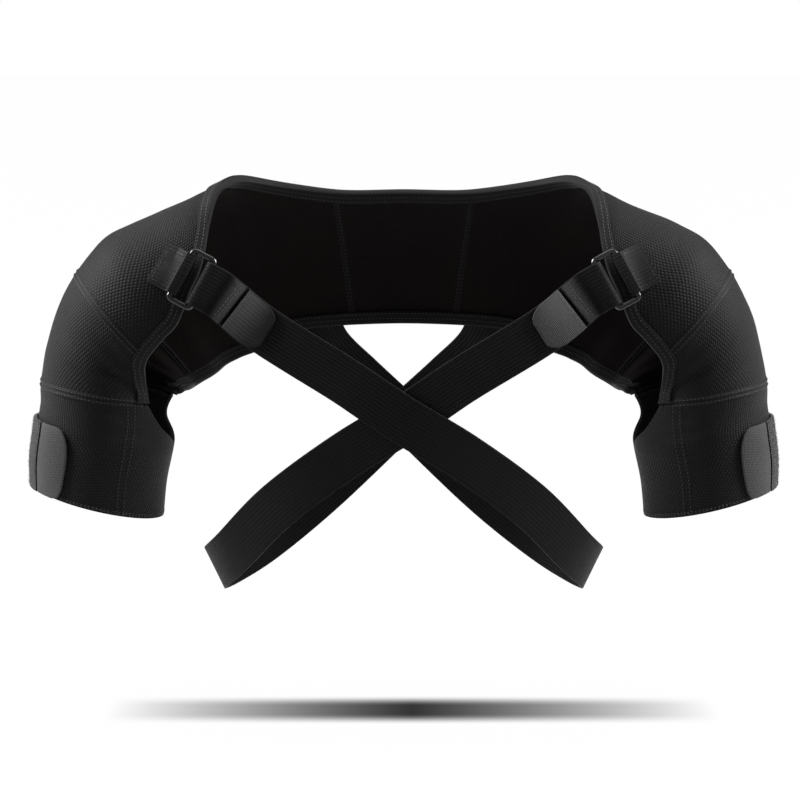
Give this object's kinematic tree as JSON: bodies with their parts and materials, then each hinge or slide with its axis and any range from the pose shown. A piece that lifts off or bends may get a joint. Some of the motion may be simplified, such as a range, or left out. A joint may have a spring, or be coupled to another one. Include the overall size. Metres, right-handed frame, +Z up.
{
  "type": "double shoulder brace",
  "caption": "Black elastic shoulder brace: a back panel with shoulder caps, arm cuffs with hook tabs, and chest straps that cross and loop round to the back.",
  "frame": {"origin": "the middle of the neck's base, level with the tops of the shoulders, where the worn brace is held up", "axes": "+X to the picture's right, which is the wearer's left; +Y from the chest to the back; +Z up; the wearer faces -Y. The names left and right are the picture's"},
  "size_m": [0.5856, 0.2144, 0.3279],
  "materials": {
    "brace_cloth": "fine honeycomb knit with a grey sheen",
    "lining": "brown-black fine knit",
    "edge_tape": "smooth folded tape with two stitch lines",
    "loop_pile": "dark heathered fuzzy pile",
    "hook_tab": "light grey, matt",
    "strap_webbing": "elastic webbing with lengthwise ribs",
    "ring_plastic": "glossy black"
  },
  "bodies": {
    "root": {"back_panel": "lining", "shoulder_panel_left": "brace_cloth", "shoulder_panel_right": "brace_cloth", "upper_arm_panel_left": "brace_cloth", "upper_arm_panel_right": "brace_cloth", "arm_cuff_left": "brace_cloth", "arm_cuff_right": "brace_cloth", "neck_binding": "edge_tape", "lower_binding": "edge_tape", "cuff_flap_left": "loop_pile", "cuff_flap_right": "loop_pile", "cuff_tab_left": "hook_tab", "cuff_tab_right": "hook_tab", "strap_left": "strap_webbing", "strap_right": "strap_webbing", "strap_tab_left": "strap_webbing", "strap_tab_right": "hook_tab", "ring_left": "ring_plastic", "ring_right": "ring_plastic", "anchor_left": "strap_webbing", "anchor_right": "strap_webbing"}
  },
  "joints": []
}
